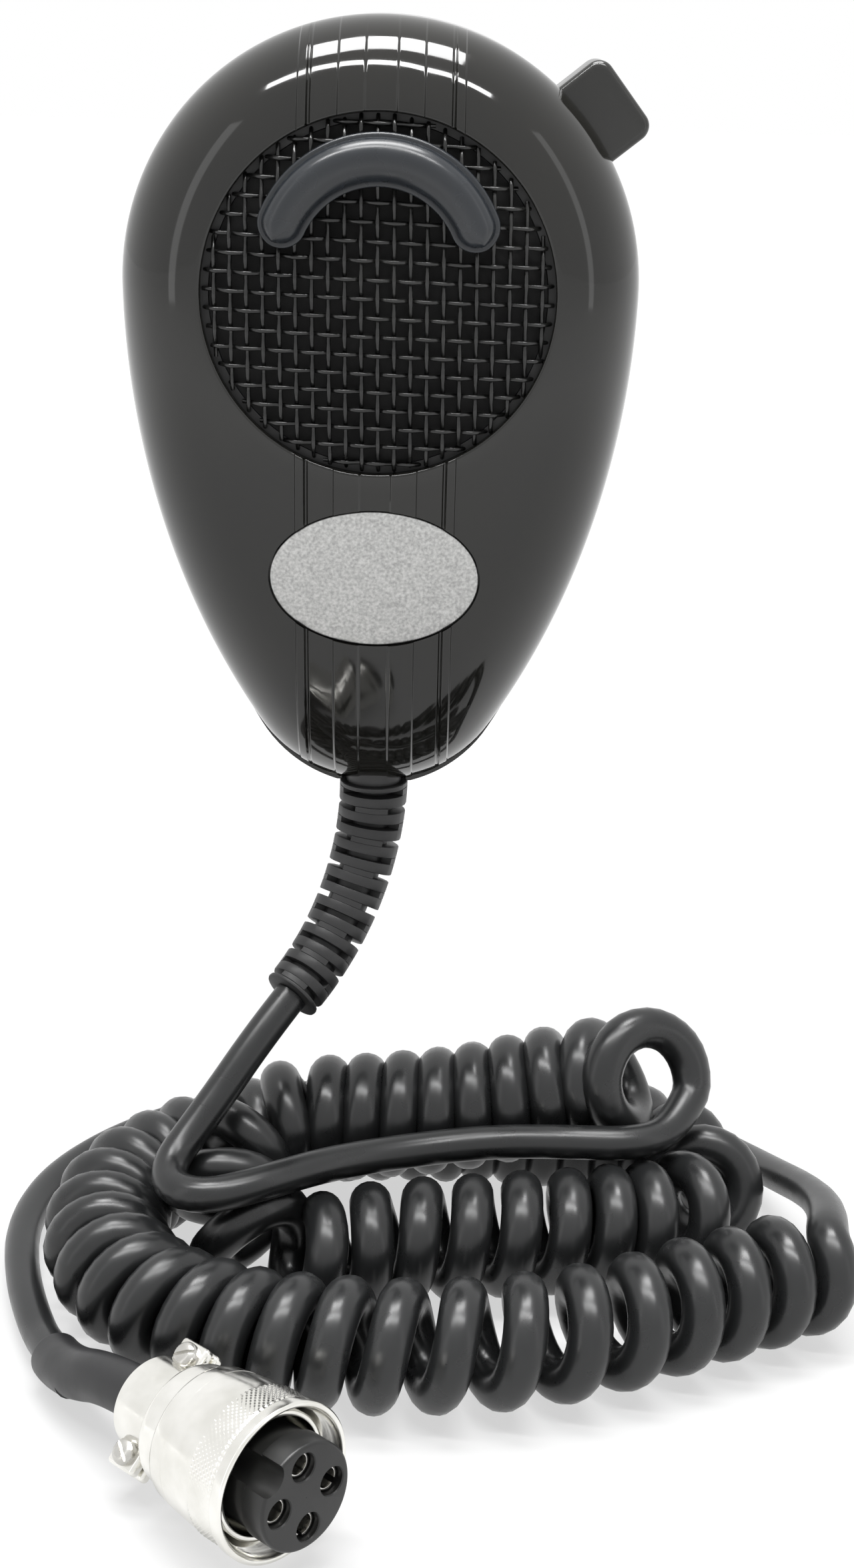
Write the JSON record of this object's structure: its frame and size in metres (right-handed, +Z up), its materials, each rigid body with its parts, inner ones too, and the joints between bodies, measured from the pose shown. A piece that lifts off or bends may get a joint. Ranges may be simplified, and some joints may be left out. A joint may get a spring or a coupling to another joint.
{
  "type": "hand microphone",
  "caption": "Teardrop hand microphone with round woven grille, side press-to-talk button, rear hang-up button, curly cord laid in a loose spiral and round screw-lock plug.",
  "frame": {"origin": "on the axis of the hang-up button on the back of the case, at the middle of its head's thickness", "axes": "+Z up the case from cord to head, +Y out of the back along the hang-up button, so the grille faces -Y; +X is to the right seen from the grille side, where the press-to-talk button is"},
  "size_m": [0.1148, 0.1204, 0.1637],
  "materials": {
    "case_plastic": "high gloss black ABS",
    "button_plastic": "semi-gloss black",
    "mesh_paint": "black painted woven wire",
    "ring_plastic": "matt black",
    "badge_metal": "satin silver",
    "cloth": "black cloth",
    "cartridge_metal": "satin",
    "gasket_rubber": "matt",
    "leaf_spring": "spring bronze",
    "laminate": "brown laminate",
    "screw_steel": "zinc plated",
    "nickel": "bright nickel plate",
    "contact_metal": "silver plate",
    "insulator": "moulded black phenolic",
    "relief_rubber": "matt dark grey",
    "cord_jacket": "semi-gloss black PVC",
    "sleeve_plastic": "satin black shrink sleeve"
  },
  "bodies": {
    "case": {"front_shell": "case_plastic", "rear_shell": "case_plastic", "fixed_leaf": "leaf_spring", "switch_stack": "laminate", "case_screws": "screw_steel", "button_head": "nickel", "button_neck": "nickel", "button_screw": "screw_steel", "badge_plate": "badge_metal", "grille_mesh": "mesh_paint", "mesh_ring": "ring_plastic", "wind_screen": "cloth", "mic_cartridge": "cartridge_metal", "cartridge_gasket": "gasket_rubber", "lip_bar": "case_plastic", "strain_relief": "relief_rubber", "plug_shell": "nickel", "cable_clamp": "nickel", "clamp_screws": "screw_steel", "plug_insulator": "insulator", "plug_contacts": "contact_metal", "cord_lead_upper": "cord_jacket", "cord_coil_inner": "cord_jacket", "cord_coil_outer": "cord_jacket", "cord_lead_lower": "cord_jacket", "cord_sleeve": "sleeve_plastic"},
    "ptt": {"ptt_button": "button_plastic"},
    "leaf": {"moving_leaf": "leaf_spring"},
    "nut": {"coupling_nut": "nickel"}
  },
  "joints": [
    {"name": "ptt_press", "type": "slide", "parent": "case", "child": "ptt", "axis": [-0.7826, 0, -0.6225], "range_m": [0, 0.003], "stiffness_N_per_m": 500, "springref_m": -0.003},
    {"name": "leaf_bend", "type": "hinge", "parent": "case", "child": "leaf", "pos_m": [0.02597, -0.024, 0.00737], "axis": [0, -1, 0], "range_deg": [0, 15.8]},
    {"name": "coupling_nut_spin", "type": "hinge", "parent": "case", "child": "nut", "pos_m": [-0.0254, -0.0854, -0.1209], "axis": [0.7127, -0.7003, 0.0401], "continuous": true}
  ],
  "couplings": [
    {"joint": "leaf_bend", "follows": "ptt_press", "rad_per_m": 91.7}
  ]
}
